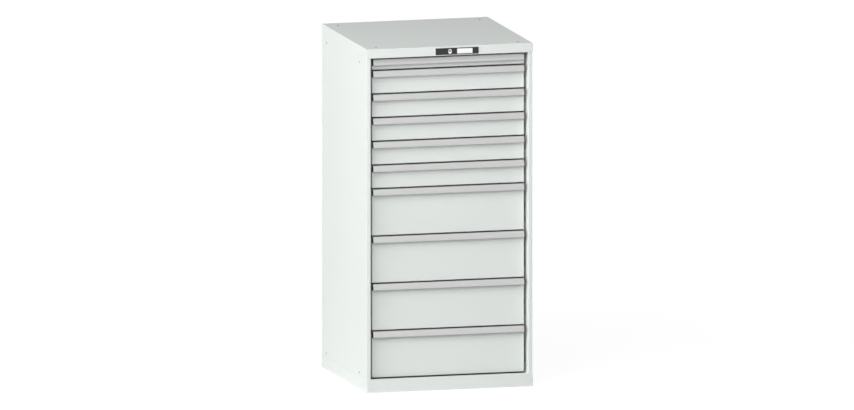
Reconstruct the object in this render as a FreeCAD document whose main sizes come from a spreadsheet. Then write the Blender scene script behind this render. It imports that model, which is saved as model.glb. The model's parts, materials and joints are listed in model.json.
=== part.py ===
import FreeCAD, Part
import math
import os
import Sketcher

# Modular drawer cabinet, in millimetres.
# The origin is under the middle of the cabinet, on the surface it stands on.
# +Z is up, +X is to the right seen from the front, and the drawers open towards -Y.

DRIVING_SIZES = {
    # folded sheets of the housing
    "housing_sheet": 1.25,
    "cover_sheet": 1.5,
    "base_sheet": 2,
    "base_height": 55,
    "cover_height": 38.5,
    "side_overhang": 1,
    "front_overhang": 3.5,
    "rear_overhang": 1,
    "cover_round": 2,
    "base_round": 2,
    "bend_round": 1.2,
    "cover_lip": 15,
    "base_lip": 35,
    "side_lip": 25,
    "frame_flange": 17,
    "frame_return": 53,
    "rear_flange": 25,
    "rear_lip": 15,
    "rear_space": 58,
    "floor_setback": 14.5,
    "fit_gap": 0.5,
    # holes in the housing
    "top_hole_spacing": 612,
    "top_hole_inset": 45,
    "top_hole_radius": 5,
    "side_hole_spacing": 531,
    "side_hole_inset": 119.5,
    "side_hole_low": 13.5,
    "side_hole_high": 31.5,
    "side_hole_radius": 4,
    # screws and rivets of the housing
    "screw_radius": 3,
    "screw_clearance": 0.25,
    "screw_inset": 8,
    "screw_edge": 150,
    "screw_grip": 12,
    "screw_head_radius": 5.8,
    "screw_head": 4,
    "rivet_radius": 2,
    "rivet_head_radius": 4,
    "rivet_head": 0.8,
    "rivet_edge": 60,
    "rivet_count": 6,
    # drawer fronts
    "low_front": 50,
    "medium_front": 100,
    "tall_front": 200,
    "head_gap": 6.5,
    "front_rise": 4,
    "front_gap": 4,
    "front_side_gap": 12.5,
    "front_drop": 3,
    "front_recess": 28,
    "front_depth": 18,
    "front_sheet": 1.25,
    "front_round": 1.5,
    # drawer trays
    "usable_width": 612,
    "usable_depth": 612,
    "tray_sheet": 1,
    "tray_rise": 6,
    "tray_drop": 10,
    "tray_rim": 12,
    # pull rails and their end caps
    "handle_height": 26.5,
    "handle_depth": 17,
    "handle_top_depth": 10.5,
    "handle_slope": 18,
    "handle_wall": 2.2,
    "handle_leg": 2,
    "handle_nose": 3,
    "handle_bend": 6,
    "handle_edge": 2,
    "cap_sheet": 2.8,
    "cap_overhang": 0.6,
    # telescopic slides
    "slide_length": 600,
    "slide_front_gap": 4.5,
    "slide_clearance": 1.125,
    "rail_rise": 8,
    "rail_height": 28,
    "rail_depth": 12,
    "rail_sheet": 1.6,
    "carriage_sheet": 3,
    "roller_clearance": 0.4,
    "roller_gap": 0.8,
    "roller_inset": 16,
    "stub_radius": 4,
    "bore_clearance": 0.05,
    # slotted uprights and the hooks of the cabinet rails
    "upright_depth": 20,
    "upright_width": 40,
    "upright_sheet": 2,
    "upright_front_inset": 21,
    "upright_rear_inset": 14,
    "slot_pitch": 25,
    "slot_height": 14,
    "slot_width": 4,
    "rail_hook_width": 3,
    "rail_hook_height": 10,
    "rail_hook_reach": 2,
    # lock plate, label, barrel and plug
    "lock_drop": 21,
    "plate_left": 61.5,
    "plate_length": 185.3,
    "plate_height": 28,
    "plate_proud": 2,
    "plate_round": 0.6,
    "label_start": 30.8,
    "label_length": 67,
    "label_height": 21.5,
    "label_depth": 1.2,
    "card_sheet": 0.3,
    "card_gap": 0.1,
    "barrel_width": 14,
    "barrel_height": 19,
    "barrel_proud": 2.5,
    "barrel_length": 26,
    "collar_margin": 4,
    "collar_sheet": 3,
    "plug_rise": 2,
    "plug_radius": 6,
    "plug_proud": 0.5,
    "plug_tail": 2,
    "key_slot_width": 2.4,
    "key_slot_height": 7,
    "key_slot_depth": 6,
    # lock shaft, crank and locking bar
    "shaft_radius": 4,
    "bearing_sheet": 3,
    "bearing_width": 28,
    "bearing_drop": 10,
    "bearing_setback": 25,
    "crank_disc_radius": 9,
    "crank_sheet": 3,
    "crank_gap": 1.5,
    "pin_radius": 2,
    "pin_clearance": 0.3,
    "hook_travel": 7,
    "hook_play": 1,
    "hook_clearance": 2,
    "hook_lip": 8,
    "hook_rise": 10,
    "hook_height": 16,
    "catch_offset": 12,
    "catch_reach": 16,
    "catch_sheet": 2,
    "latch_play": 2,
    "bar_width": 20,
    "bar_sheet": 3,
    "bar_gap": 10,
    "bar_head": 12,
    "guide_sheet": 3,
    "guide_height": 10,
    "guide_gap": 0.4,
    "guide_setback": 4,
    "foot_height": 3,
}

# Drawers from the top of the cabinet to the bottom, each with the height of its front.
DRAWER_FRONTS = ["low_front"] + 5 * ["medium_front"] + 4 * ["tall_front"]

# Drawers, counted from the top, whose floor line has a guide of the locking bar under it.
GUIDED_DRAWERS = (1, 4, 7, 9)

doc = FreeCAD.newDocument("DrawerCabinet")
sheet = doc.addObject("Spreadsheet::Sheet", "Sizes")
for row, (alias, size) in enumerate(DRIVING_SIZES.items(), 1):
    sheet.set(f"A{row}", alias)
    sheet.set(f"B{row}", str(size))
    sheet.setAlias(f"B{row}", alias)
doc.recompute()

# Distances worked out from the driving sizes, written as expressions on the sheet.
TRAY_HALF = "(Sizes.usable_width / 2 + Sizes.tray_sheet)"
SLIDE_SPACE = "(2 * Sizes.rail_depth + Sizes.carriage_sheet + 2 * Sizes.slide_clearance)"
UPRIGHT_INNER = f"({TRAY_HALF} + {SLIDE_SPACE})"
BODY_HALF = f"({UPRIGHT_INNER} + Sizes.upright_depth + Sizes.housing_sheet)"
COVER_HALF = f"({BODY_HALF} + Sizes.side_overhang)"
FRONT_HALF = f"({BODY_HALF} - Sizes.frame_flange - Sizes.front_side_gap)"

FRONT_TO_TRAY = "(Sizes.front_overhang + Sizes.front_recess + Sizes.front_depth)"
TRAY_LENGTH = "(Sizes.usable_depth + 2 * Sizes.tray_sheet)"
CABINET_DEPTH = (
    f"({FRONT_TO_TRAY} + {TRAY_LENGTH} + Sizes.rear_space"
    " + 2 * Sizes.housing_sheet + Sizes.rear_overhang)"
)
LOCK_PROUD = "(Sizes.plate_proud + Sizes.barrel_proud + Sizes.plug_proud)"
COVER_FRONT = f"(({LOCK_PROUD} - {CABINET_DEPTH}) / 2)"
COVER_REAR = f"(({LOCK_PROUD} + {CABINET_DEPTH}) / 2)"
BODY_FRONT = f"({COVER_FRONT} + Sizes.front_overhang)"
BODY_REAR = f"({COVER_REAR} - Sizes.rear_overhang)"
BODY_MIDDLE = f"(({BODY_FRONT} + {BODY_REAR}) / 2)"
FRONT_PLANE = f"({BODY_FRONT} + Sizes.front_recess)"
TRAY_FRONT = f"({COVER_FRONT} + {FRONT_TO_TRAY})"
TRAY_REAR = f"({TRAY_FRONT} + {TRAY_LENGTH})"
PANEL_INNER = f"({BODY_REAR} - 2 * Sizes.housing_sheet)"
SLIDE_FRONT = f"({TRAY_FRONT} + Sizes.slide_front_gap)"
SLIDE_REAR = f"({SLIDE_FRONT} + Sizes.slide_length)"

ALL_FRONTS = "(" + " + ".join(f"Sizes.{front}" for front in DRAWER_FRONTS) + ")"
OPENING = f"({ALL_FRONTS} + Sizes.head_gap)"
BODY_TOP = f"(Sizes.base_height + {OPENING})"
COVER_TOP = f"({BODY_TOP} + Sizes.cover_height)"
FLOOR_TOP = "(Sizes.base_height + Sizes.housing_sheet)"
LOCK_HEIGHT = f"({COVER_TOP} - Sizes.lock_drop)"
LOCK_AXIS = f"({LOCK_HEIGHT} + Sizes.plug_rise)"

RAIL_MIDDLE = "(Sizes.rail_rise + Sizes.rail_height / 2)"
ROLLER_RADIUS = "(Sizes.rail_height / 2 - Sizes.rail_sheet - Sizes.roller_clearance)"
ROLLER_WIDTH = (
    "(Sizes.rail_depth + Sizes.slide_clearance - Sizes.rail_sheet - 2 * Sizes.roller_gap)"
)
PLATE_INNER = f"({TRAY_HALF} + Sizes.rail_depth + Sizes.slide_clearance)"
PLATE_OUTER = f"({PLATE_INNER} + Sizes.carriage_sheet)"
CABINET_RAIL_EDGE = f"({PLATE_OUTER} + Sizes.slide_clearance)"
DRAWER_RAIL_EDGE = f"({TRAY_HALF} + Sizes.rail_depth)"
PLUG_END = f"({COVER_FRONT} + Sizes.barrel_length + Sizes.plug_tail)"

BAR_FRONT = f"({TRAY_REAR} + Sizes.catch_reach + Sizes.bar_gap)"
BAR_REAR = f"({BAR_FRONT} + Sizes.bar_sheet)"
CRANK_REAR = f"({BAR_FRONT} - Sizes.crank_gap)"
CRANK_FRONT = f"({CRANK_REAR} - Sizes.crank_sheet)"
PIN_SHIFT = "(Sizes.hook_travel / 2)"
PIN_SWING = "(Sizes.hook_travel / sqrt(2))"
HOOK_SIDE = "(Sizes.catch_offset - Sizes.hook_play - Sizes.hook_travel)"
HOOK_REAR = f"({TRAY_REAR} + Sizes.catch_reach - Sizes.catch_sheet - Sizes.latch_play)"

TURNED = {
    "x": FreeCAD.Rotation(FreeCAD.Vector(0, 1, 0), 90),
    "y": FreeCAD.Rotation(FreeCAD.Vector(1, 0, 0), -90),
    "z": FreeCAD.Rotation(),
}
SIDES = {"left": -1, "right": 1}
TOUCH = 1e-6

nodes = []


def keep(piece, label):
    """Give a finished piece the name of its node."""
    piece.Label = label
    nodes.append(piece)
    return piece


def minus(distance):
    return f"-({distance})"


def sided(sign, distance):
    """A distance from the middle plane, to the right or mirrored to the left."""
    return distance if sign > 0 else minus(distance)


def between(sign, inner, outer):
    """Low and high X of a stretch that runs from inner to outer on one side."""
    return (inner, outer) if sign > 0 else (minus(outer), minus(inner))


def both_ways(half):
    return (minus(half), half)


def block(name, x_span, y_span, z_span):
    """Box between a low and a high distance on each axis."""
    piece = doc.addObject("Part::Box", name)
    spans = (("Length", "x", x_span), ("Width", "y", y_span), ("Height", "z", z_span))
    for side, axis, (low, high) in spans:
        piece.setExpression(side, f"({high}) - ({low})")
        piece.setExpression(f"Placement.Base.{axis}", low)
    return piece


def set_start(piece, start):
    for axis, distance in zip("xyz", start):
        piece.setExpression(f"Placement.Base.{axis}", distance)


def rod(name, axis, start, radius, length):
    """Cylinder that runs from its start in the + direction of one axis."""
    piece = doc.addObject("Part::Cylinder", name)
    piece.Placement = FreeCAD.Placement(FreeCAD.Vector(), TURNED[axis])
    set_start(piece, start)
    piece.setExpression("Radius", radius)
    piece.setExpression("Height", length)
    return piece


def fused(name, pieces):
    whole = doc.addObject("Part::MultiFuse", name)
    whole.Shapes = pieces
    whole.Refine = True
    return whole


def cut(name, base, tool):
    rest = doc.addObject("Part::Cut", name)
    rest.Base = base
    rest.Tool = tool
    rest.Refine = True
    return rest


def gathered(name, pieces):
    """Several separate solids that belong to one node."""
    group = doc.addObject("Part::Compound", name)
    group.Links = pieces
    return group


def new_body(name):
    return doc.addObject("PartDesign::Body", name)


def sketch_on(body, name, plane, offset="0"):
    """Sketch on one of the body's own origin planes, moved along the plane's normal."""
    sketch = body.newObject("Sketcher::SketchObject", name)
    support = next(item for item in body.Origin.OriginFeatures if item.Role == plane)
    sketch.AttachmentSupport = [(support, "")]
    sketch.MapMode = "FlatFace"
    sketch.setExpression("AttachmentOffset.Base.z", offset)
    return sketch


def pin_point(sketch, element, point, across, up):
    """Hold one point of a sketch element at bound distances from the sketch's origin."""
    for kind, distance in (("DistanceX", across), ("DistanceY", up)):
        start = float(sketch.evalExpression(distance))
        number = sketch.addConstraint(Sketcher.Constraint(kind, -1, 1, element, point, start))
        sketch.setExpression(f"Constraints[{number}]", distance)


def outline(sketch, corners):
    """Closed outline of straight lines, each corner held at bound distances."""
    points = [
        FreeCAD.Vector(sketch.evalExpression(across), sketch.evalExpression(up), 0)
        for across, up in corners
    ]
    first = sketch.GeometryCount
    count = len(points)
    for number, point in enumerate(points):
        sketch.addGeometry(Part.LineSegment(point, points[(number + 1) % count]))
    for number in range(count):
        following = first + (number + 1) % count
        sketch.addConstraint(Sketcher.Constraint("Coincident", first + number, 2, following, 1))
    for number, (across, up) in enumerate(corners):
        pin_point(sketch, first + number, 1, across, up)


def rectangle(sketch, across, up):
    """Rectangle between a low and a high distance each way."""
    left, right = across
    low, high = up
    outline(sketch, [(left, low), (right, low), (right, high), (left, high)])


def circle(sketch, across, up, radius):
    centre = FreeCAD.Vector(sketch.evalExpression(across), sketch.evalExpression(up), 0)
    size = float(sketch.evalExpression(radius))
    ring = sketch.addGeometry(Part.Circle(centre, FreeCAD.Vector(0, 0, 1), size))
    pin_point(sketch, ring, 3, across, up)
    number = sketch.addConstraint(Sketcher.Constraint("Radius", ring, size))
    sketch.setExpression(f"Constraints[{number}]", radius)


def extruded(body, kind, name, sketch, length, backwards=False):
    """Pad or pocket of a sketch."""
    feature = body.newObject(f"PartDesign::{kind}", name)
    feature.Profile = sketch
    feature.setExpression("Length", length)
    feature.Reversed = backwards
    return feature


def runs_along(edge, axis):
    """Whether a straight edge is parallel to an axis."""
    box = edge.BoundBox
    extents = {"x": box.XLength, "y": box.YLength, "z": box.ZLength}
    along = extents.pop(axis)
    return along > TOUCH and max(extents.values()) < TOUCH


def rounded(body, name, radius, wanted):
    """Fillet the edges of the body so far that the wanted test picks."""
    base = body.Tip
    doc.recompute()
    edges = [f"Edge{number}" for number, edge in enumerate(base.Shape.Edges, 1) if wanted(edge)]
    fillet = body.newObject("PartDesign::Fillet", name)
    fillet.Base = (base, edges)
    fillet.setExpression("Radius", radius)
    return fillet


def screw_places():
    """Screws at the front, middle and rear of both sides."""
    inset = f"({BODY_HALF} - Sizes.screw_inset)"
    rows = (
        f"({BODY_FRONT} + Sizes.screw_edge)",
        BODY_MIDDLE,
        f"({BODY_REAR} - Sizes.screw_edge)",
    )
    return [(sided(sign, inset), row) for sign in SIDES.values() for row in rows]


def screw_holes(sketch, places):
    for across, back in places:
        circle(sketch, across, back, "Sizes.screw_radius + Sizes.screw_clearance")


def make_base_frame():
    """Closed plinth ring whose top and bottom lips fold inwards."""
    body = new_body("base_frame")
    foot = sketch_on(body, "base_outline", "XY_Plane")
    rectangle(foot, both_ways(COVER_HALF), (COVER_FRONT, COVER_REAR))
    extruded(body, "Pad", "base_block", foot, "Sizes.base_height")
    rounded(body, "base_corners", "Sizes.base_round", lambda edge: runs_along(edge, "z"))
    middle = sketch_on(body, "base_hollow", "XY_Plane", "Sizes.base_height")
    rectangle(
        middle,
        both_ways(f"({COVER_HALF} - Sizes.base_lip)"),
        (f"{COVER_FRONT} + Sizes.base_lip", f"{COVER_REAR} - Sizes.base_lip"),
    )
    extruded(body, "Pocket", "base_opening", middle, "Sizes.base_height")
    inside = sketch_on(
        body, "base_inside", "XY_Plane", "Sizes.base_height - Sizes.base_sheet"
    )
    rectangle(
        inside,
        both_ways(f"({COVER_HALF} - Sizes.base_sheet)"),
        (f"{COVER_FRONT} + Sizes.base_sheet", f"{COVER_REAR} - Sizes.base_sheet"),
    )
    extruded(
        body, "Pocket", "base_cavity", inside, "Sizes.base_height - 2 * Sizes.base_sheet"
    )
    holes = sketch_on(body, "base_screw_holes", "XY_Plane", "Sizes.base_height")
    screw_holes(holes, screw_places())
    extruded(body, "Pocket", "base_screw_pocket", holes, "Sizes.base_sheet")
    keep(body, "base_frame")


def make_top_cover():
    """Folded lid with a skirt all round and a lip that rests on the side panels."""
    body = new_body("top_cover")
    lid = sketch_on(body, "cover_outline", "XY_Plane", BODY_TOP)
    rectangle(lid, both_ways(COVER_HALF), (COVER_FRONT, COVER_REAR))
    extruded(body, "Pad", "cover_block", lid, "Sizes.cover_height")
    level = sheet.evalExpression(BODY_TOP)
    rounded(
        body,
        "cover_edges",
        "Sizes.cover_round",
        lambda edge: edge.BoundBox.ZMax > level + TOUCH,
    )
    inside = sketch_on(body, "cover_inside", "XY_Plane", f"{COVER_TOP} - Sizes.cover_sheet")
    rectangle(
        inside,
        both_ways(f"({COVER_HALF} - Sizes.cover_sheet)"),
        (f"{COVER_FRONT} + Sizes.cover_sheet", f"{COVER_REAR} - Sizes.cover_sheet"),
    )
    extruded(
        body, "Pocket", "cover_cavity", inside, "Sizes.cover_height - 2 * Sizes.cover_sheet"
    )
    mouth = sketch_on(body, "cover_mouth", "XY_Plane", f"{BODY_TOP} + Sizes.cover_sheet")
    rectangle(
        mouth,
        both_ways(f"({COVER_HALF} - Sizes.cover_lip)"),
        (f"{COVER_FRONT} + Sizes.cover_lip", f"{COVER_REAR} - Sizes.cover_lip"),
    )
    extruded(body, "Pocket", "cover_opening", mouth, "Sizes.cover_sheet")
    eyes = sketch_on(body, "top_holes", "XY_Plane", COVER_TOP)
    row = f"({COVER_FRONT} + Sizes.top_hole_inset)"
    for sign in SIDES.values():
        for back in (row, f"({row} + Sizes.top_hole_spacing)"):
            circle(eyes, sided(sign, "Sizes.top_hole_spacing / 2"), back, "Sizes.top_hole_radius")
    extruded(body, "Pocket", "top_hole_pocket", eyes, "Sizes.cover_sheet")
    holes = sketch_on(body, "cover_screw_holes", "XY_Plane", f"{BODY_TOP} + Sizes.cover_sheet")
    screw_holes(holes, screw_places())
    extruded(body, "Pocket", "cover_screw_pocket", holes, "Sizes.cover_sheet")
    lock = sketch_on(body, "lock_hole", "XZ_Plane", minus(COVER_FRONT))
    lock_outline(lock)
    extruded(body, "Pocket", "lock_hole_pocket", lock, "Sizes.cover_sheet")
    keep(body, "top_cover")


def lock_outline(sketch):
    """Upright oval of the lock barrel: two half circles joined by straight flanks."""
    radius = "(Sizes.barrel_width / 2)"
    flank = "(Sizes.barrel_height / 2 - Sizes.barrel_width / 2)"
    size = float(sketch.evalExpression(radius))
    arcs = []
    for level, start in ((f"({LOCK_HEIGHT} + {flank})", 0), (f"({LOCK_HEIGHT} - {flank})", math.pi)):
        centre = FreeCAD.Vector(0, sketch.evalExpression(level), 0)
        ring = Part.Circle(centre, FreeCAD.Vector(0, 0, 1), size)
        arc = sketch.addGeometry(Part.ArcOfCircle(ring, start, start + math.pi))
        pin_point(sketch, arc, 3, "0", level)
        number = sketch.addConstraint(Sketcher.Constraint("Radius", arc, size))
        sketch.setExpression(f"Constraints[{number}]", radius)
        arcs.append(arc)
    for arc, following in (arcs, reversed(arcs)):
        flank_start = sketch.getPoint(arc, 2)
        flank_end = sketch.getPoint(following, 1)
        line = sketch.addGeometry(Part.LineSegment(flank_start, flank_end))
        sketch.addConstraint(Sketcher.Constraint("Tangent", arc, 2, line, 1))
        sketch.addConstraint(Sketcher.Constraint("Tangent", line, 2, following, 1))


def rivet_heights():
    """Heights of the rivets along one rear edge, evenly spaced."""
    run = f"({OPENING} - 2 * Sizes.rivet_edge)"
    count = int(DRIVING_SIZES["rivet_count"])
    return [
        f"(Sizes.base_height + Sizes.rivet_edge + {number} * {run} / (Sizes.rivet_count - 1))"
        for number in range(count)
    ]


def make_side_panel(side, sign):
    """Folded side with a front flange, a return behind it, a rear flange and two lips.

    The bends that show outside are rounded: those of the flange, and along the top and bottom.
    """
    sheet_in = f"({BODY_HALF} - Sizes.housing_sheet)"
    flange = f"({BODY_HALF} - Sizes.frame_flange)"
    flange_in = f"({flange} + Sizes.housing_sheet)"
    rear = f"({BODY_HALF} - Sizes.rear_flange)"
    turn = f"({BODY_FRONT} + Sizes.frame_return)"
    section = [
        (BODY_HALF, BODY_FRONT),
        (BODY_HALF, BODY_REAR),
        (rear, BODY_REAR),
        (rear, f"{BODY_REAR} - Sizes.housing_sheet"),
        (sheet_in, f"{BODY_REAR} - Sizes.housing_sheet"),
        (sheet_in, f"{BODY_FRONT} + Sizes.housing_sheet"),
        (flange_in, f"{BODY_FRONT} + Sizes.housing_sheet"),
        (flange_in, turn),
        (flange, turn),
        (flange, BODY_FRONT),
    ]
    body = new_body(f"{side}_side_panel")
    profile = sketch_on(body, "side_section", "XY_Plane", "Sizes.base_height")
    outline(profile, [(sided(sign, across), back) for across, back in section])
    extruded(body, "Pad", "side_wall", profile, OPENING)
    front = sheet.evalExpression(BODY_FRONT)
    outer = sheet.evalExpression(BODY_HALF)
    rounded(
        body,
        "side_bends",
        "Sizes.bend_round",
        lambda edge: runs_along(edge, "z")
        and edge.BoundBox.YMax < front + TOUCH
        or runs_along(edge, "y")
        and abs(edge.BoundBox.Center.x) > outer - TOUCH,
    )
    lip = between(sign, f"({BODY_HALF} - Sizes.side_lip)", sheet_in)
    lip_run = (f"{turn} + Sizes.fit_gap", f"{PANEL_INNER} - Sizes.fit_gap")
    under_cover = f"{BODY_TOP} - Sizes.housing_sheet"
    for name, level in (("low_lip", "Sizes.base_height"), ("high_lip", under_cover)):
        strip = sketch_on(body, name, "XY_Plane", level)
        rectangle(strip, lip, lip_run)
        extruded(body, "Pad", f"{name}_pad", strip, "Sizes.housing_sheet")
        holes = sketch_on(body, f"{name}_holes", "XY_Plane", f"{level} + Sizes.housing_sheet")
        across = sided(sign, f"({BODY_HALF} - Sizes.screw_inset)")
        screw_holes(holes, [place for place in screw_places() if place[0] == across])
        extruded(body, "Pocket", f"{name}_pocket", holes, "Sizes.housing_sheet")
    outside = BODY_HALF if sign > 0 else minus(sheet_in)
    joining = sketch_on(body, "side_holes", "YZ_Plane", outside)
    first = f"({BODY_FRONT} + Sizes.side_hole_inset)"
    for back in (first, f"({first} + Sizes.side_hole_spacing)"):
        for up in (
            "(Sizes.base_height + Sizes.side_hole_low)",
            f"({BODY_TOP} - Sizes.side_hole_high)",
        ):
            circle(joining, back, up, "Sizes.side_hole_radius")
    extruded(body, "Pocket", "side_hole_pocket", joining, "Sizes.housing_sheet")
    rivets = sketch_on(
        body, "rivet_holes", "XZ_Plane", f"{minus(BODY_REAR)} + Sizes.housing_sheet"
    )
    for up in rivet_heights():
        across = sided(sign, f"({BODY_HALF} - Sizes.rear_flange / 2)")
        circle(rivets, across, up, "Sizes.rivet_radius")
    extruded(body, "Pocket", "rivet_pocket", rivets, "Sizes.housing_sheet")
    keep(body, f"{side}_side_panel")


def make_rear_panel():
    """Flat rear sheet inside the side panels' rear flanges, with a stiffening lip on top."""
    body = new_body("rear_panel")
    wall = sketch_on(body, "rear_outline", "XZ_Plane", minus(PANEL_INNER))
    half = f"({BODY_HALF} - Sizes.housing_sheet - Sizes.fit_gap)"
    rectangle(wall, both_ways(half), ("Sizes.base_height", BODY_TOP))
    extruded(body, "Pad", "rear_wall", wall, "Sizes.housing_sheet", backwards=True)
    strip = sketch_on(body, "rear_lip", "XY_Plane", f"{BODY_TOP} - Sizes.housing_sheet")
    rectangle(
        strip,
        both_ways(f"({BODY_HALF} - Sizes.side_lip - Sizes.fit_gap)"),
        (f"{PANEL_INNER} - Sizes.rear_lip", PANEL_INNER),
    )
    extruded(body, "Pad", "rear_lip_pad", strip, "Sizes.housing_sheet")
    rivets = sketch_on(body, "rivet_holes", "XZ_Plane", minus(PANEL_INNER))
    for sign in SIDES.values():
        across = sided(sign, f"({BODY_HALF} - Sizes.rear_flange / 2)")
        for up in rivet_heights():
            circle(rivets, across, up, "Sizes.rivet_radius")
    extruded(body, "Pocket", "rivet_pocket", rivets, "Sizes.housing_sheet")
    keep(body, "rear_panel")


def make_floor_panel():
    """Floor sheet whose front edge lies below the lowest drawer's pull rail."""
    half = f"({BODY_HALF} - Sizes.side_lip - Sizes.fit_gap)"
    floor = block(
        "floor_sheet",
        both_ways(half),
        (f"{BODY_FRONT} + Sizes.floor_setback", PANEL_INNER),
        ("Sizes.base_height", FLOOR_TOP),
    )
    keep(floor, "floor_panel")


def make_rear_rivets():
    """Blind rivets that hold the rear panel to the side panels' rear flanges."""
    rivets = []
    for sign in SIDES.values():
        across = sided(sign, f"({BODY_HALF} - Sizes.rear_flange / 2)")
        for up in rivet_heights():
            shank = rod(
                "rivet_shank",
                "y",
                (across, PANEL_INNER, up),
                "Sizes.rivet_radius",
                "2 * Sizes.housing_sheet",
            )
            head = rod(
                "rivet_head",
                "y",
                (across, BODY_REAR, up),
                "Sizes.rivet_head_radius",
                "Sizes.rivet_head",
            )
            rivets.append(fused("rivet", [shank, head]))
    keep(gathered("rivet_group", rivets), "rear_rivets")


def make_housing_screws():
    """Hexagon screws that hold the cover from below and the housing on its base."""
    screws = []
    for across, back in screw_places():
        under_lip = f"({BODY_TOP} - Sizes.housing_sheet)"
        for head_low, shank_low in (
            (f"({under_lip} - Sizes.screw_head)", under_lip),
            (FLOOR_TOP, f"({FLOOR_TOP} - Sizes.screw_grip)"),
        ):
            head = doc.addObject("Part::Prism", "screw_head")
            head.Polygon = 6
            head.setExpression("Circumradius", "Sizes.screw_head_radius")
            head.setExpression("Height", "Sizes.screw_head")
            set_start(head, (across, back, head_low))
            shank = rod(
                "screw_shank", "z", (across, back, shank_low), "Sizes.screw_radius", "Sizes.screw_grip"
            )
            screws.append(fused("screw", [head, shank]))
    keep(gathered("screw_group", screws), "housing_screws")


def make_uprights():
    """Four C-shaped posts with a row of slots; the cabinet rails hook into the slots."""
    front_start = f"({SLIDE_FRONT} + Sizes.upright_front_inset)"
    rear_end = f"({SLIDE_REAR} - Sizes.upright_rear_inset)"
    rear_start = f"({rear_end} - Sizes.upright_width)"
    posts = []
    for side, sign in SIDES.items():
        for place, start in (("front", front_start), ("rear", rear_start)):
            posts.append(make_upright(f"{place}_{side}_upright", sign, start))
    keep(gathered("upright_group", posts), "uprights")


def make_upright(name, sign, start):
    end = f"({start} + Sizes.upright_width)"
    back = f"({UPRIGHT_INNER} + Sizes.upright_sheet)"
    open_side = f"({UPRIGHT_INNER} + Sizes.upright_depth)"
    section = [
        (UPRIGHT_INNER, start),
        (UPRIGHT_INNER, end),
        (open_side, end),
        (open_side, f"{end} - Sizes.upright_sheet"),
        (back, f"{end} - Sizes.upright_sheet"),
        (back, f"{start} + Sizes.upright_sheet"),
        (open_side, f"{start} + Sizes.upright_sheet"),
        (open_side, start),
    ]
    body = new_body(name)
    profile = sketch_on(body, "upright_section", "XY_Plane", FLOOR_TOP)
    outline(profile, [(sided(sign, across), along) for across, along in section])
    extruded(body, "Pad", "upright_post", profile, f"{OPENING} - 2 * Sizes.housing_sheet")
    face = back if sign > 0 else minus(UPRIGHT_INNER)
    slot = sketch_on(body, "first_slot", "YZ_Plane", face)
    middle = f"({start} + Sizes.upright_width / 2)"
    height = f"(Sizes.base_height + {RAIL_MIDDLE})"
    rectangle(
        slot,
        (f"{middle} - Sizes.slot_width / 2", f"{middle} + Sizes.slot_width / 2"),
        (f"{height} - Sizes.slot_height / 2", f"{height} + Sizes.slot_height / 2"),
    )
    pocket = extruded(body, "Pocket", "slot_pocket", slot, "Sizes.upright_sheet")
    row = body.newObject("PartDesign::LinearPattern", "slot_row")
    row.Originals = [pocket]
    row.Direction = (slot, ["V_Axis"])
    row.Mode = "Spacing"
    row.setExpression("Offset", "Sizes.slot_pitch")
    row.setExpression("Occurrences", f"floor(({OPENING} - {RAIL_MIDDLE}) / Sizes.slot_pitch)")
    body.Tip = row
    return body


def drawer_floor(number):
    """Height of the line that the given drawer's zone starts from."""
    below = " + ".join(f"Sizes.{front}" for front in DRAWER_FRONTS[number + 1:])
    return f"(Sizes.base_height + {below})" if below else "Sizes.base_height"


def channel(name, sign, outside, hollow, low):
    """C-shaped rail on one side: its own stretch across, less the stretch of its hollow."""
    high = f"({low} + Sizes.rail_height)"
    run = (SLIDE_FRONT, SLIDE_REAR)
    bar = block(f"{name}_bar", between(sign, *outside), run, (low, high))
    inside = block(
        f"{name}_hollow",
        between(sign, *hollow),
        run,
        (f"{low} + Sizes.rail_sheet", f"{high} - Sizes.rail_sheet"),
    )
    return cut(name, bar, inside)


def make_cabinet_rails():
    """Fixed rails, two per drawer, each with two hooks in the slots of its uprights."""
    half_post = "Sizes.upright_width / 2"
    front_slot = f"({SLIDE_FRONT} + Sizes.upright_front_inset + {half_post})"
    rear_slot = f"({SLIDE_REAR} - Sizes.upright_rear_inset - {half_post})"
    first_slot = f"(Sizes.base_height + {RAIL_MIDDLE})"
    hook_end = f"({UPRIGHT_INNER} + Sizes.upright_sheet + Sizes.rail_hook_reach)"
    outside = (CABINET_RAIL_EDGE, UPRIGHT_INNER)
    hollow = (CABINET_RAIL_EDGE, f"({UPRIGHT_INNER} - Sizes.rail_sheet)")
    rails = []
    for number in range(len(DRAWER_FRONTS)):
        low = f"({drawer_floor(number)} + Sizes.rail_rise)"
        rise = f"({drawer_floor(number)} + {RAIL_MIDDLE} - {first_slot})"
        slot = f"({first_slot} + Sizes.slot_pitch * round({rise} / Sizes.slot_pitch))"
        for sign in SIDES.values():
            pieces = [channel("cabinet_channel", sign, outside, hollow, low)]
            for middle in (front_slot, rear_slot):
                hook = block(
                    "rail_hook",
                    between(sign, UPRIGHT_INNER, hook_end),
                    (
                        f"{middle} - Sizes.rail_hook_width / 2",
                        f"{middle} + Sizes.rail_hook_width / 2",
                    ),
                    (
                        f"{slot} - Sizes.rail_hook_height / 2",
                        f"{slot} + Sizes.rail_hook_height / 2",
                    ),
                )
                pieces.append(hook)
            rails.append(fused("cabinet_rail", pieces))
    keep(gathered("cabinet_rail_group", rails), "cabinet_rails")


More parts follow.
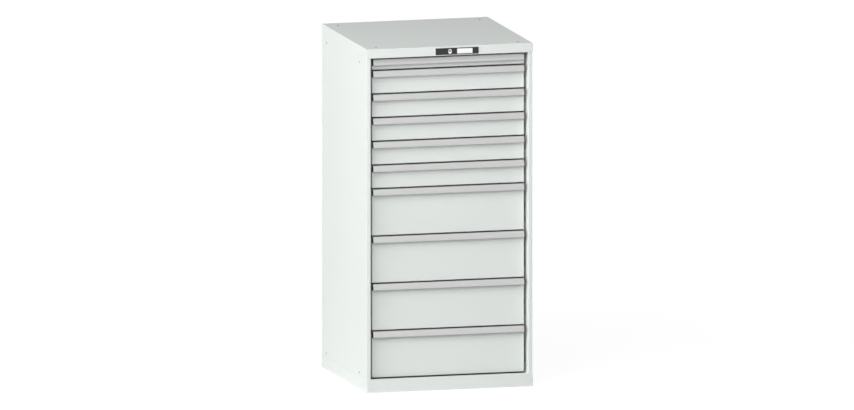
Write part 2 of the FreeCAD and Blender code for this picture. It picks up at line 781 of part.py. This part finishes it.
def make_slides(number):
    """Carriage members of one drawer, left and right, each a plate with four rollers."""
    level = f"({drawer_floor(number)} + {RAIL_MIDDLE})"
    low = f"({drawer_floor(number)} + Sizes.rail_rise)"
    half_run = "Sizes.slide_length / 2"
    inner_places = (
        f"({SLIDE_FRONT} + Sizes.roller_inset)",
        f"({SLIDE_FRONT} + {half_run} - Sizes.roller_inset)",
    )
    outer_places = (
        f"({SLIDE_FRONT} + {half_run} + Sizes.roller_inset)",
        f"({SLIDE_REAR} - Sizes.roller_inset)",
    )
    reach = f"(Sizes.roller_gap + {ROLLER_WIDTH})"
    solids = []
    for sign in SIDES.values():
        plate = [
            block(
                "carriage_plate",
                between(sign, PLATE_INNER, PLATE_OUTER),
                (SLIDE_FRONT, SLIDE_REAR),
                (low, f"{low} + Sizes.rail_height"),
            )
        ]
        for places, stub_from, roller_from in (
            (inner_places, f"({PLATE_INNER} - {reach})", f"({PLATE_INNER} - {reach})"),
            (outer_places, PLATE_OUTER, f"({PLATE_OUTER} + Sizes.roller_gap)"),
        ):
            for back in places:
                stub_x = between(sign, stub_from, f"{stub_from} + {reach}")[0]
                roller_x = between(sign, roller_from, f"{roller_from} + {ROLLER_WIDTH}")[0]
                plate.append(rod("roller_stub", "x", (stub_x, back, level), "Sizes.stub_radius", reach))
                wheel = rod("roller_disc", "x", (roller_x, back, level), ROLLER_RADIUS, ROLLER_WIDTH)
                bore = rod(
                    "roller_bore",
                    "x",
                    (roller_x, back, level),
                    "Sizes.stub_radius + Sizes.bore_clearance",
                    ROLLER_WIDTH,
                )
                solids.append(cut("roller", wheel, bore))
        solids.append(fused("carriage", plate))
    keep(gathered("slide_group", solids), f"drawer_{number + 1:02d}_slides")


def make_tray(number, front):
    """Open tray with a rim on both sides, its welded rails and the catch on its rear wall."""
    floor = drawer_floor(number)
    low = f"({floor} + Sizes.tray_rise)"
    high = f"({floor} + Sizes.{front} - Sizes.tray_drop)"
    body = new_body("tray_shell")
    shell = sketch_on(body, "tray_outline", "XY_Plane", low)
    rectangle(shell, both_ways(TRAY_HALF), (TRAY_FRONT, TRAY_REAR))
    extruded(body, "Pad", "tray_block", shell, f"{high} - {low}")
    rim = sketch_on(body, "tray_rim", "XY_Plane", f"{high} - Sizes.tray_sheet")
    rectangle(rim, both_ways(f"({TRAY_HALF} + Sizes.tray_rim)"), (TRAY_FRONT, TRAY_REAR))
    extruded(body, "Pad", "tray_rim_pad", rim, "Sizes.tray_sheet")
    inside = sketch_on(body, "tray_inside", "XY_Plane", high)
    rectangle(
        inside,
        both_ways("(Sizes.usable_width / 2)"),
        (f"{TRAY_FRONT} + Sizes.tray_sheet", f"{TRAY_REAR} - Sizes.tray_sheet"),
    )
    extruded(body, "Pocket", "tray_hollow", inside, f"{high} - {low} - Sizes.tray_sheet")
    solids = [body]
    rail_low = f"({floor} + Sizes.rail_rise)"
    outside = (TRAY_HALF, DRAWER_RAIL_EDGE)
    hollow = (f"({TRAY_HALF} + Sizes.rail_sheet)", DRAWER_RAIL_EDGE)
    for sign in SIDES.values():
        solids.append(channel("drawer_rail", sign, outside, hollow, rail_low))
    catch_side = "(Sizes.catch_offset + Sizes.catch_sheet)"
    catch_end = f"({TRAY_REAR} + Sizes.catch_reach)"
    web = block(
        "catch_web",
        ("Sizes.catch_offset", catch_side),
        (TRAY_REAR, catch_end),
        hook_heights(number),
    )
    lip = block(
        "catch_lip",
        (f"{HOOK_SIDE} + Sizes.hook_clearance", catch_side),
        (f"{catch_end} - Sizes.catch_sheet", catch_end),
        hook_heights(number),
    )
    solids.append(fused("lock_catch", [web, lip]))
    keep(gathered("tray_group", solids), f"drawer_{number + 1:02d}_tray")


def hook_heights(number):
    """Low and high edge of one drawer's catch and of the hook that holds it."""
    low = f"({drawer_floor(number)} + Sizes.hook_rise)"
    return low, f"({low} + Sizes.hook_height)"


def front_heights(number, front):
    """Lower edge of one drawer's front and top of its pull rail."""
    floor = drawer_floor(number)
    low = f"({floor} + Sizes.front_rise)"
    high = f"({floor} + Sizes.{front} + Sizes.front_rise - Sizes.front_gap)"
    return low, high


def make_front(number, front):
    """Front pan, open at the rear, that ends a little below the top of its pull rail."""
    low, rail_top = front_heights(number, front)
    high = f"({rail_top} - Sizes.front_drop)"
    body = new_body("front_pan")
    face = sketch_on(body, "front_outline", "XZ_Plane", minus(TRAY_FRONT))
    rectangle(face, both_ways(FRONT_HALF), (low, high))
    extruded(body, "Pad", "front_block", face, "Sizes.front_depth")
    rear = sheet.evalExpression(TRAY_FRONT)
    rounded(
        body,
        "front_bends",
        "Sizes.front_round",
        lambda edge: edge.BoundBox.YMin < rear - 1 and edge.Length > 1,
    )
    inside = sketch_on(body, "front_inside", "XZ_Plane", minus(TRAY_FRONT))
    rectangle(
        inside,
        both_ways(f"({FRONT_HALF} - Sizes.front_sheet)"),
        (f"{low} + Sizes.front_sheet", f"{high} - Sizes.front_sheet"),
    )
    extruded(
        body,
        "Pocket",
        "front_hollow",
        inside,
        "Sizes.front_depth - Sizes.front_sheet",
        backwards=True,
    )
    keep(body, f"drawer_{number + 1:02d}_front")


def make_handle(number, front):
    """Hollow pull rail with a sloping face, closed by an end cap at each end."""
    top = front_heights(number, front)[1]
    rear_top = f"({top} - Sizes.front_drop)"
    bottom = f"({top} - Sizes.handle_height)"
    slope_end = f"({top} - Sizes.handle_slope)"
    nose = f"({FRONT_PLANE} - Sizes.handle_depth)"
    brow = f"({FRONT_PLANE} - Sizes.handle_top_depth)"
    outside = [(FRONT_PLANE, rear_top), (brow, top), (nose, slope_end), (nose, bottom)]
    inside = [
        (f"{nose} + Sizes.handle_wall", bottom),
        (f"{nose} + Sizes.handle_wall", slope_end),
        (f"{brow} + Sizes.handle_wall", f"{top} - Sizes.handle_wall"),
        (f"{FRONT_PLANE} - Sizes.handle_leg", f"{rear_top} - Sizes.handle_wall"),
        (f"{FRONT_PLANE} - Sizes.handle_leg", bottom),
        (FRONT_PLANE, bottom),
    ]
    rail_end = f"({FRONT_HALF} + Sizes.cap_overhang - Sizes.cap_sheet)"
    solids = [
        handle_length("pull_rail", outside + inside, minus(rail_end), f"2 * {rail_end}")
    ]
    cap = outside + [(FRONT_PLANE, bottom)]
    for start in (rail_end, minus(f"({rail_end} + Sizes.cap_sheet)")):
        solids.append(handle_length("end_cap", cap, start, "Sizes.cap_sheet"))
    keep(gathered("handle_group", solids), f"drawer_{number + 1:02d}_handle")


def handle_length(name, section, start, length):
    """One stretch of the pull rail's section, with its brow, slope and lower edge rounded."""
    body = new_body(name)
    profile = sketch_on(body, f"{name}_section", "YZ_Plane", start)
    outline(profile, section)
    extruded(body, "Pad", f"{name}_pad", profile, length)
    for corner, radius in enumerate(("handle_nose", "handle_bend", "handle_edge"), 1):
        back = sheet.evalExpression(section[corner][0])
        up = sheet.evalExpression(section[corner][1])
        rounded(
            body,
            f"{name}_round",
            f"Sizes.{radius}",
            lambda edge: runs_along(edge, "x")
            and abs(edge.BoundBox.YMin - back) < TOUCH
            and abs(edge.BoundBox.ZMin - up) < TOUCH,
        )
    return body


def make_lock_plate():
    """Black plate on the cover with a window for the label card and a hole for the barrel."""
    body = new_body("lock_plate")
    face = sketch_on(body, "plate_outline", "XZ_Plane", minus(COVER_FRONT))
    left = minus("Sizes.plate_left")
    half = "Sizes.plate_height / 2"
    rectangle(
        face,
        (left, f"{left} + Sizes.plate_length"),
        (f"{LOCK_HEIGHT} - {half}", f"{LOCK_HEIGHT} + {half}"),
    )
    extruded(body, "Pad", "plate_block", face, "Sizes.plate_proud")
    rear = sheet.evalExpression(COVER_FRONT)
    rounded(
        body,
        "plate_edges",
        "Sizes.plate_round",
        lambda edge: edge.BoundBox.YMin < rear - 1 and edge.Length > 1,
    )
    window = sketch_on(
        body, "recess_outline", "XZ_Plane", f"{minus(COVER_FRONT)} + Sizes.plate_proud"
    )
    rectangle(window, label_across(), label_up())
    extruded(body, "Pocket", "label_recess", window, "Sizes.label_depth")
    hole = sketch_on(
        body, "barrel_hole", "XZ_Plane", f"{minus(COVER_FRONT)} + Sizes.plate_proud"
    )
    lock_outline(hole)
    extruded(body, "Pocket", "barrel_pocket", hole, "Sizes.plate_proud")
    keep(body, "lock_plate")


def label_across():
    return ("Sizes.label_start", "Sizes.label_start + Sizes.label_length")


def label_up():
    half = "Sizes.label_height / 2"
    return (f"{LOCK_HEIGHT} - {half}", f"{LOCK_HEIGHT} + {half}")


def make_label():
    """Card at the bottom of the plate's recess and the clear window that covers it."""
    recess = f"({COVER_FRONT} - Sizes.plate_proud + Sizes.label_depth)"
    card_front = f"({recess} - Sizes.card_sheet)"
    card = block("card", label_across(), (card_front, recess), label_up())
    keep(card, "label_card")
    window_front = f"({COVER_FRONT} - Sizes.plate_proud)"
    window_rear = f"({card_front} - Sizes.card_gap)"
    window = block("window", label_across(), (window_front, window_rear), label_up())
    keep(window, "label_window")


def make_lock_barrel():
    """Fixed oval lock body with a collar behind the cover's skirt."""
    front = f"({COVER_FRONT} - Sizes.plate_proud - Sizes.barrel_proud)"
    body = new_body("lock_barrel")
    face = sketch_on(body, "barrel_outline", "XZ_Plane", minus(front))
    lock_outline(face)
    length = "Sizes.barrel_length + Sizes.plate_proud + Sizes.barrel_proud"
    extruded(body, "Pad", "barrel_pad", face, length, backwards=True)
    collar_front = f"({COVER_FRONT} + Sizes.cover_sheet)"
    collar = sketch_on(body, "collar_outline", "XZ_Plane", minus(collar_front))
    half_width = "(Sizes.barrel_width / 2 + Sizes.collar_margin)"
    half_height = "(Sizes.barrel_height / 2 + Sizes.collar_margin)"
    rectangle(
        collar,
        both_ways(half_width),
        (f"{LOCK_HEIGHT} - {half_height}", f"{LOCK_HEIGHT} + {half_height}"),
    )
    extruded(body, "Pad", "collar_pad", collar, "Sizes.collar_sheet", backwards=True)
    bore = sketch_on(body, "plug_bore", "XZ_Plane", minus(front))
    circle(bore, "0", LOCK_AXIS, "Sizes.plug_radius + Sizes.bore_clearance")
    extruded(body, "Pocket", "plug_bore_pocket", bore, length)
    keep(body, "lock_barrel")


def make_lock_plug():
    """Turning core of the lock with its key slot."""
    front = f"({COVER_FRONT} - {LOCK_PROUD})"
    core = rod(
        "plug_core",
        "y",
        ("0", front, LOCK_AXIS),
        "Sizes.plug_radius",
        f"{PLUG_END} - {front}",
    )
    slot = block(
        "key_slot",
        both_ways("(Sizes.key_slot_width / 2)"),
        (front, f"{front} + Sizes.key_slot_depth"),
        (
            f"{LOCK_AXIS} - Sizes.key_slot_height / 2",
            f"{LOCK_AXIS} + Sizes.key_slot_height / 2",
        ),
    )
    keep(cut("plug", core, slot), "lock_plug")


def make_lock_shaft():
    """Long rod that carries the plug's turn to the rear of the cabinet."""
    shaft = rod(
        "shaft_rod",
        "y",
        ("0", PLUG_END, LOCK_AXIS),
        "Sizes.shaft_radius",
        f"{CRANK_FRONT} - {PLUG_END}",
    )
    keep(shaft, "lock_shaft")


def make_lock_crank():
    """Disc at the shaft's end whose pin pushes the locking bar sideways."""
    disc = rod(
        "crank_disc",
        "y",
        ("0", CRANK_FRONT, LOCK_AXIS),
        "Sizes.crank_disc_radius",
        "Sizes.crank_sheet",
    )
    pin = rod(
        "crank_pin",
        "y",
        (minus(PIN_SHIFT), CRANK_REAR, f"{LOCK_AXIS} + {PIN_SHIFT}"),
        "Sizes.pin_radius",
        "2 * Sizes.crank_gap + Sizes.bar_sheet",
    )
    keep(fused("crank", [disc, pin]), "lock_crank")


def make_locking_bar():
    """Upright bar behind the drawers, with one hook per drawer and a slot for the crank pin."""
    low = f"({FLOOR_TOP} + Sizes.foot_height)"
    pieces = [
        block(
            "bar",
            both_ways("(Sizes.bar_width / 2)"),
            (BAR_FRONT, BAR_REAR),
            (low, f"{LOCK_AXIS} + Sizes.bar_head"),
        )
    ]
    hook_front = f"({HOOK_REAR} - Sizes.catch_sheet)"
    arm_right = f"({HOOK_SIDE} - Sizes.hook_lip)"
    arm_left = f"({arm_right} - Sizes.catch_sheet)"
    for number in range(len(DRAWER_FRONTS)):
        heights = hook_heights(number)
        pieces.append(block("hook_arm", (arm_left, arm_right), (hook_front, BAR_FRONT), heights))
        pieces.append(block("hook_tip", (arm_left, HOOK_SIDE), (hook_front, HOOK_REAR), heights))
    room = "(Sizes.pin_radius + Sizes.pin_clearance)"
    slot = block(
        "pin_slot",
        (f"-({PIN_SHIFT} + {room})", f"-({PIN_SHIFT} - {room})"),
        (BAR_FRONT, BAR_REAR),
        (f"{LOCK_AXIS} + {PIN_SHIFT} - {room}", f"{LOCK_AXIS} + {PIN_SWING} + {room}"),
    )
    keep(cut("hooked_bar", fused("bar_with_hooks", pieces), slot), "locking_bar")


def make_lock_brackets():
    """Shaft bearing under the cover, guides of the locking bar and the foot it slides on."""
    bearing_rear = f"({CRANK_FRONT} - Sizes.bearing_setback)"
    bearing_front = f"({bearing_rear} - Sizes.bearing_sheet)"
    plate = block(
        "bearing_plate",
        both_ways("(Sizes.bearing_width / 2)"),
        (bearing_front, bearing_rear),
        (f"{LOCK_AXIS} - Sizes.bearing_drop", f"{COVER_TOP} - Sizes.cover_sheet"),
    )
    bore = rod(
        "bearing_bore",
        "y",
        ("0", bearing_front, LOCK_AXIS),
        "Sizes.shaft_radius + Sizes.bore_clearance",
        "Sizes.bearing_sheet",
    )
    solids = [cut("shaft_bearing", plate, bore)]
    room_left = "(Sizes.bar_width / 2 + Sizes.guide_gap)"
    room_right = f"({room_left} + Sizes.hook_travel)"
    room = (minus(room_left), room_right)
    guide_across = (f"-({room_left} + Sizes.guide_sheet)", f"{room_right} + Sizes.guide_sheet")
    guide_front = f"({BAR_FRONT} - Sizes.guide_gap - Sizes.guide_sheet)"
    for number in GUIDED_DRAWERS:
        guide_top = f"({drawer_floor(number - 1)} - Sizes.guide_setback)"
        heights = (f"{guide_top} - Sizes.guide_height", guide_top)
        frame = block("guide_frame", guide_across, (guide_front, PANEL_INNER), heights)
        passage = block(
            "bar_passage",
            room,
            (f"{BAR_FRONT} - Sizes.guide_gap", f"{BAR_REAR} + Sizes.guide_gap"),
            heights,
        )
        behind = block(
            "guide_hollow",
            room,
            (f"{BAR_REAR} + Sizes.guide_gap + Sizes.guide_sheet", PANEL_INNER),
            heights,
        )
        solids.append(cut("bar_guide", cut("guide_loop", frame, passage), behind))
    foot = block(
        "bar_foot",
        guide_across,
        (guide_front, PANEL_INNER),
        (FLOOR_TOP, f"{FLOOR_TOP} + Sizes.foot_height"),
    )
    solids.append(foot)
    keep(gathered("bracket_group", solids), "lock_brackets")


make_base_frame()
make_top_cover()
for side, sign in SIDES.items():
    make_side_panel(side, sign)
make_rear_panel()
make_floor_panel()
make_rear_rivets()
make_housing_screws()
make_uprights()
make_cabinet_rails()
for number, front in enumerate(DRAWER_FRONTS):
    make_tray(number, front)
    make_front(number, front)
    make_handle(number, front)
    make_slides(number)
make_lock_plate()
make_label()
make_lock_barrel()
make_lock_plug()
make_lock_shaft()
make_lock_crank()
make_locking_bar()
make_lock_brackets()
doc.recompute()

for item in doc.Objects:
    if "Invalid" in item.State or "Error" in item.State:
        raise RuntimeError(f"{item.Label} has failed: {item.State}")
    if item.TypeId == "PartDesign::Pocket":
        if item.Shape.Volume > item.BaseFeature.Shape.Volume - TOUCH:
            raise RuntimeError(f"{item.Label} cuts nothing")
for node in nodes:
    if node.Shape.isNull() or not node.Shape.isValid():
        raise RuntimeError(f"{node.Label} has no valid shape")

os.makedirs("parts", exist_ok=True)
for node in nodes:
    node.Shape.exportStep(f"parts/{node.Label}.step")
print(len(nodes), "nodes written")
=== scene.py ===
import json
import math

import bpy
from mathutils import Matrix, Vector


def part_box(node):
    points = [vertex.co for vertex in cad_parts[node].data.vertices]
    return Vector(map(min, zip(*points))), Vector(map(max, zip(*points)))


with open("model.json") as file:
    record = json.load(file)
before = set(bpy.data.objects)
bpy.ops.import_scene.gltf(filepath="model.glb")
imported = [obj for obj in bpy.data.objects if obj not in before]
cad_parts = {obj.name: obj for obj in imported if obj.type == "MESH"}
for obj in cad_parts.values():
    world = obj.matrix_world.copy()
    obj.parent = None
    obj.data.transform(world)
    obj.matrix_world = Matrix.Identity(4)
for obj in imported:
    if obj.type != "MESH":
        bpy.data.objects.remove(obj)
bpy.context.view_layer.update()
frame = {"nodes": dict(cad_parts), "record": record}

MILLIMETRE = 0.001
PICTURE_WIDTH = 854
CABINET_MIDDLE = Vector((0, 0, 0.75))
FLOOR_LEVEL = -0.0005
OVERHEAD_STRENGTH = 0.092

# Each lamp's place, the side of its square and its watts.
LAMPS = {
    "high_key_light": ((-5.8, -5.4, 6.6), 4.8, 460),
    "left_light": ((-9.6, -2.4, 1.6), 3.6, 424),
    "steep_front_light": ((-1.6, -3.8, 8.6), 4.0, 174),
    "front_key_light": ((-3.0, -8.6, 4.2), 4.8, 300),
}

# The nodes whose bolt holes are open, by the name of their mount.
HOLED_NODES = {
    "top_holes": "top_cover",
    "left_side_holes": "left_side_panel",
    "right_side_holes": "right_side_panel",
}


class Level:
    """A number that changes over a surface; sums and products of it add Math nodes."""

    def __init__(self, finish, socket):
        self.finish = finish
        self.socket = socket

    def maths(self, operation, *terms):
        inputs = dict(enumerate(terms))
        return self.finish.node("ShaderNodeMath", {"operation": operation}, inputs)

    def __add__(self, other):
        return self.maths("ADD", self, other)

    def __sub__(self, other):
        return self.maths("SUBTRACT", self, other)

    def __rsub__(self, other):
        return self.maths("SUBTRACT", other, self)

    def __mul__(self, other):
        return self.maths("MULTIPLY", self, other)

    __radd__ = __add__
    __rmul__ = __mul__

    def within(self, low, high):
        """0 below low, 1 above high, and straight between them."""
        inputs = {"Value": self, "From Min": low, "From Max": high}
        return self.finish.node("ShaderNodeMapRange", None, inputs)


class Finish:
    """The nodes of one material or of the world."""

    def __init__(self, owner):
        owner.use_nodes = True
        self.owner = owner
        self.tree = owner.node_tree

    @classmethod
    def named(cls, name):
        return cls(bpy.data.materials.new(name))

    def node(self, kind, settings=None, inputs=None, output=0):
        """Add a node: its settings first, then the values or links of its sockets."""
        node = self.tree.nodes.new(kind)
        for name, value in (settings or {}).items():
            setattr(node, name, value)
        for name, value in (inputs or {}).items():
            self.feed(node.inputs[name], value)
        return Level(self, node.outputs[output])

    def feed(self, socket, value):
        """Link a socket to a level, or set it to a constant."""
        if isinstance(value, Level):
            self.tree.links.new(value.socket, socket)
        else:
            socket.default_value = value

    def surface(self, **sockets):
        """Set or link sockets of the surface shader; underscores stand for spaces."""
        shader = self.tree.nodes["Principled BSDF"]
        for name, value in sockets.items():
            self.feed(shader.inputs[name.replace("_", " ")], value)
        return self.owner

    def place(self, stretch=(1, 1, 1)):
        """Where a point lies on the object, stretched along the axes."""
        here = self.node("ShaderNodeTexCoord", output="Object")
        return self.node("ShaderNodeMapping", None, {"Vector": here, "Scale": stretch})

    def grain(self, size, detail=2.0, stretch=(1, 1, 1)):
        """Noise from 0 to 1 whose grains are about the given size in metres."""
        sockets = {"Vector": self.place(stretch), "Scale": 1 / size, "Detail": detail}
        return self.node("ShaderNodeTexNoise", None, sockets)

    def blend(self, amount, first, second):
        """Colour between two colours."""
        sockets = {"Factor": amount, "A": (*first, 1), "B": (*second, 1)}
        mix = self.tree.nodes.new("ShaderNodeMix")
        mix.data_type = "RGBA"
        for socket in mix.inputs:
            if socket.enabled and socket.name in sockets:
                self.feed(socket, sockets[socket.name])
        result = next(socket for socket in mix.outputs if socket.enabled)
        return Level(self, result)

    def rays(self, *kinds):
        """1 for rays of the given kinds and 0 for all others."""
        found = [self.node("ShaderNodeLightPath", output=f"Is {kind} Ray") for kind in kinds]
        return sum(found).within(low=0, high=1)

    def shown(self):
        """1 for rays that show the backdrop itself: straight, mirrored or through glass."""
        return self.rays("Camera", "Glossy", "Transmission")

    def relief(self, height, depth, strength):
        """Surface direction over a relief of the given depth in metres."""
        sockets = {"Height": height, "Distance": depth, "Strength": strength}
        return self.node("ShaderNodeBump", None, sockets)


def grey(tone):
    return (tone, tone, tone)


def shade(colour, share):
    """The colour made darker or lighter, and never lighter than white."""
    return tuple(min(1.0, part * share) for part in colour)


def painted(name, colour):
    """Powder coat: fine orange peel, a little mottled, softly glossy."""
    coat = Finish.named(name)
    peel = coat.grain(size=0.0016)
    cloud = coat.grain(size=0.22, detail=3.0)
    return coat.surface(
        Base_Color=coat.blend(cloud, shade(colour, 0.985), shade(colour, 1.012)),
        Roughness=0.5 + 0.08 * (peel - 0.5),
        Specular_IOR_Level=0.25,
        Normal=coat.relief(peel, depth=0.00006, strength=0.6),
    )


def plated_steel(name):
    """Zinc-plated sheet: dull metal with a faint crystal pattern and drawn lines."""
    plate = Finish.named(name)
    crystals_per_metre = 140
    sockets = {"Vector": plate.place(), "Scale": crystals_per_metre}
    crystals = plate.node("ShaderNodeTexVoronoi", None, sockets, output="Color")
    tone = plate.node("ShaderNodeSeparateColor", None, {"Color": crystals})
    lines = plate.grain(size=0.0012, detail=3.0, stretch=(1, 0.02, 1))
    return plate.surface(
        Base_Color=plate.blend(0.5 * tone + 0.5 * lines, (0.56, 0.57, 0.59), (0.72, 0.73, 0.74)),
        Metallic=1.0,
        Roughness=0.34 + 0.14 * tone,
        Normal=plate.relief(lines, depth=0.00002, strength=0.5),
    )


def anodised(name):
    """Satin anodised extrusion with fine lines along its length."""
    rail = Finish.named(name)
    lines = rail.grain(size=0.0007, detail=3.0, stretch=(0.008, 1, 1))
    cloud = rail.grain(size=0.15)
    return rail.surface(
        Base_Color=rail.blend(0.6 * lines + 0.4 * cloud, grey(0.44), grey(0.5)),
        Metallic=0.75,
        Roughness=0.42 + 0.08 * lines,
        Normal=rail.relief(lines, depth=0.00002, strength=0.6),
    )


def grained(name, colour, grain_size, roughness):
    """Moulded plastic, or a dark sheet or edge painted to stand in for shade, with a fine uneven
    grain.
    """
    skin = Finish.named(name)
    grain = skin.grain(grain_size, detail=3.0)
    return skin.surface(
        Base_Color=skin.blend(grain, shade(colour, 0.85), shade(colour, 1.15)),
        Roughness=roughness + 0.1 * (grain - 0.5),
        Specular_IOR_Level=0.35,
        Normal=skin.relief(grain, depth=0.00004, strength=0.7),
    )


def card(name):
    """White card with faint fibres."""
    paper = Finish.named(name)
    fibres = paper.grain(size=0.0006, detail=4.0)
    return paper.surface(
        Base_Color=paper.blend(fibres, grey(0.97), grey(1.0)),
        Roughness=0.8,
        Normal=paper.relief(fibres, depth=0.00002, strength=0.4),
    )


def clear_window(name):
    """Thin clear plastic that lets the card show through."""
    window = Finish.named(name)
    haze = window.grain(size=0.02)
    return window.surface(
        Base_Color=window.blend(haze, (0.96, 0.97, 0.97), grey(0.99)),
        Roughness=0.05 + 0.05 * haze,
        Alpha=0.10,
        IOR=1.45,
    )


def nickel(name, tone):
    """Nickel plating, slightly brushed."""
    metal = Finish.named(name)
    brushed = metal.grain(size=0.0005, stretch=(0.1, 1, 1))
    dark = (tone * 0.93, tone * 0.93, tone * 0.94)
    light = (tone, tone, tone * 1.01)
    return metal.surface(
        Base_Color=metal.blend(brushed, dark, light),
        Metallic=1.0,
        Roughness=0.2 + 0.1 * brushed,
        Normal=metal.relief(brushed, depth=0.00001, strength=0.4),
    )


FINISHES = {
    "light_grey_paint": painted("light_grey_paint", (0.745, 0.781, 0.757)),
    "zinc_steel": plated_steel("zinc_steel"),
    "satin_aluminium": anodised("satin_aluminium"),
    "black_plastic": grained("black_plate_plastic", grey(0.016), 0.0006, 0.5),
    "white_card": card("white_card"),
    "clear_plastic": clear_window("clear_plastic"),
    "bright_metal": nickel("bright_barrel_metal", tone=0.9),
    # Painted shade: this near-black sheet finish stands in for the shade in the gap under the
    # bottom drawer front.
    "dark_steel": grained("dark_steel_sheet_painted_shade", (0.035, 0.035, 0.036), 0.004, 0.6),
}
BLACK_CAP = grained("black_cap_plastic", grey(0.008), 0.0009, 0.5)
# Painted shade: a darker copy of the barrel's nickel stands in for the shade on the lock's key
# plug.
PLUG_METAL_PAINTED_SHADE = nickel("plug_metal_painted_shade", tone=0.35)
# Painted shade: a near-black finish for the walls of the bolt holes, standing in for the shade
# inside them.
HOLE_EDGE_PAINTED_SHADE = grained("hole_edge_painted_shade", grey(0.02), 0.0006, 0.7)


def finish_parts():
    """Give every part of the frame the finish of its material slot."""
    for part in frame["record"]["subparts"]:
        mesh = frame["nodes"][part["node"]].data
        mesh.materials.clear()
        mesh.materials.append(FINISHES[part["material_slot"]])
    # The lock plug gets the darker nickel copy that stands in for shade.
    frame["nodes"]["lock_plug"].data.materials[0] = PLUG_METAL_PAINTED_SHADE


def refinish(node, finish, chosen):
    """Give another finish to the faces of a node whose corners are chosen."""
    mesh = frame["nodes"][node].data
    slot = len(mesh.materials)
    mesh.materials.append(finish)
    for face in mesh.polygons:
        if chosen([mesh.vertices[index].co for index in face.vertices]):
            face.material_index = slot


def blacken_end_caps():
    """The pull rails' end caps are the parts of each rail beyond its aluminium length."""
    cap_length = 2.82 * MILLIMETRE
    for name in frame["nodes"]:
        if name.endswith("_handle"):
            cap_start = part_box(name)[1][0] - cap_length
            refinish(name, BLACK_CAP, lambda corners: (
                min(corner.x for corner in corners) > cap_start
                or max(corner.x for corner in corners) < -cap_start
            ))


def paint_shade_in_bolt_holes():
    """Painted shade: the sheet's cut edge inside the holes that take bolts is coloured dark to
    stand in for the shade inside them.
    """
    slack = 0.05 * MILLIMETRE
    for mount in frame["record"]["mounts"]:
        if mount["name"] not in HOLED_NODES:
            continue
        dims = mount["dims"]
        across, up = (0, 1) if mount["axis"][2] else (1, 2)
        middle = (mount["pos_m"][across], mount["pos_m"][up])
        half_x = dims["spacing_x_mm"] * MILLIMETRE / 2
        half_y = dims["spacing_y_mm"] * MILLIMETRE / 2
        centres = [
            (middle[0] + side * half_x, middle[1] + end * half_y)
            for side in (-1, 1)
            for end in (-1, 1)
        ]
        reach = dims["hole_r_mm"] * MILLIMETRE + slack
        refinish(HOLED_NODES[mount["name"]], HOLE_EDGE_PAINTED_SHADE, lambda corners: any(
            all(math.dist((corner[across], corner[up]), centre) < reach for corner in corners)
            for centre in centres
        ))


def add_camera():
    """Long-distance view from the front left, a little above."""
    azimuth = math.radians(-15.04)
    elevation = math.radians(8.96)
    pixels_per_metre = 239.74
    distance = 8
    far_limit = 40
    sideways, upward = -0.00174, 0.71599
    back = Vector(
        (
            math.sin(azimuth) * math.cos(elevation),
            -math.cos(azimuth) * math.cos(elevation),
            math.sin(elevation),
        )
    )
    right = Vector((math.cos(azimuth), math.sin(azimuth), 0))
    up = back.cross(right)
    camera = bpy.data.objects.new("camera", bpy.data.cameras.new("camera"))
    bpy.context.scene.collection.objects.link(camera)
    camera.data.type = "ORTHO"
    camera.data.ortho_scale = PICTURE_WIDTH / pixels_per_metre
    camera.data.clip_end = far_limit
    camera.location = right * sideways + up * upward + back * distance
    camera.rotation_euler = back.to_track_quat("Z", "Y").to_euler()
    bpy.context.scene.camera = camera


def add_softbox(name, position, size, watts):
    """Large square lamp aimed at the middle of the cabinet."""
    lamp = bpy.data.lights.new(name, "AREA")
    lamp.shape = "SQUARE"
    lamp.size = size
    lamp.energy = watts
    box = bpy.data.objects.new(name, lamp)
    box.location = position
    aim = CABINET_MIDDLE - Vector(position)
    box.rotation_euler = aim.to_track_quat("-Z", "Y").to_euler()
    bpy.context.scene.collection.objects.link(box)


def add_world():
    """White where it is shown, and a dimmer light from overhead on the object."""
    world = bpy.data.worlds.new("studio")
    bpy.context.scene.world = world
    sky = Finish(world)
    background = sky.tree.nodes["Background"]
    background.inputs["Color"].default_value = (*grey(1), 1)
    direction = sky.node("ShaderNodeTexCoord", output="Generated")
    height = sky.node("ShaderNodeSeparateXYZ", None, {"Vector": direction}, output="Z")
    overhead = OVERHEAD_STRENGTH * height.within(low=0.3, high=0.8)
    shown = sky.shown()
    sky.feed(background.inputs["Strength"], shown + (1 - shown) * overhead)


def add_floor():
    """Pale floor: the camera sees its own white and a soft shadow under the cabinet."""
    reach = 30.0
    mesh = bpy.data.meshes.new("floor")
    corners = [(-reach, -reach), (reach, -reach), (reach, reach), (-reach, reach)]
    mesh.from_pydata([(x, y, FLOOR_LEVEL) for x, y in corners], [], [(0, 1, 2, 3)])
    floor = bpy.data.objects.new("floor", mesh)
    bpy.context.scene.collection.objects.link(floor)
    pale = Finish.named("pale_floor")
    distance = pale.node(
        "ShaderNodeVectorMath", {"operation": "LENGTH"}, {"Vector": pale.place()}, output="Value"
    )
    pale.surface(
        Base_Color=pale.blend(pale.rays("Camera"), grey(0.68), grey(0.12)),
        Roughness=0.9,
        Specular_IOR_Level=0.0,
        Emission_Color=pale.blend(distance.within(low=1.5, high=5), grey(0.95), grey(1)),
        Emission_Strength=pale.shown(),
    )
    mesh.materials.append(pale.owner)


finish_parts()
blacken_end_caps()
paint_shade_in_bolt_holes()
add_camera()
add_world()
add_floor()
for name, (position, size, watts) in LAMPS.items():
    add_softbox(name, position, size, watts)
bpy.context.scene.view_settings.view_transform = "Standard"
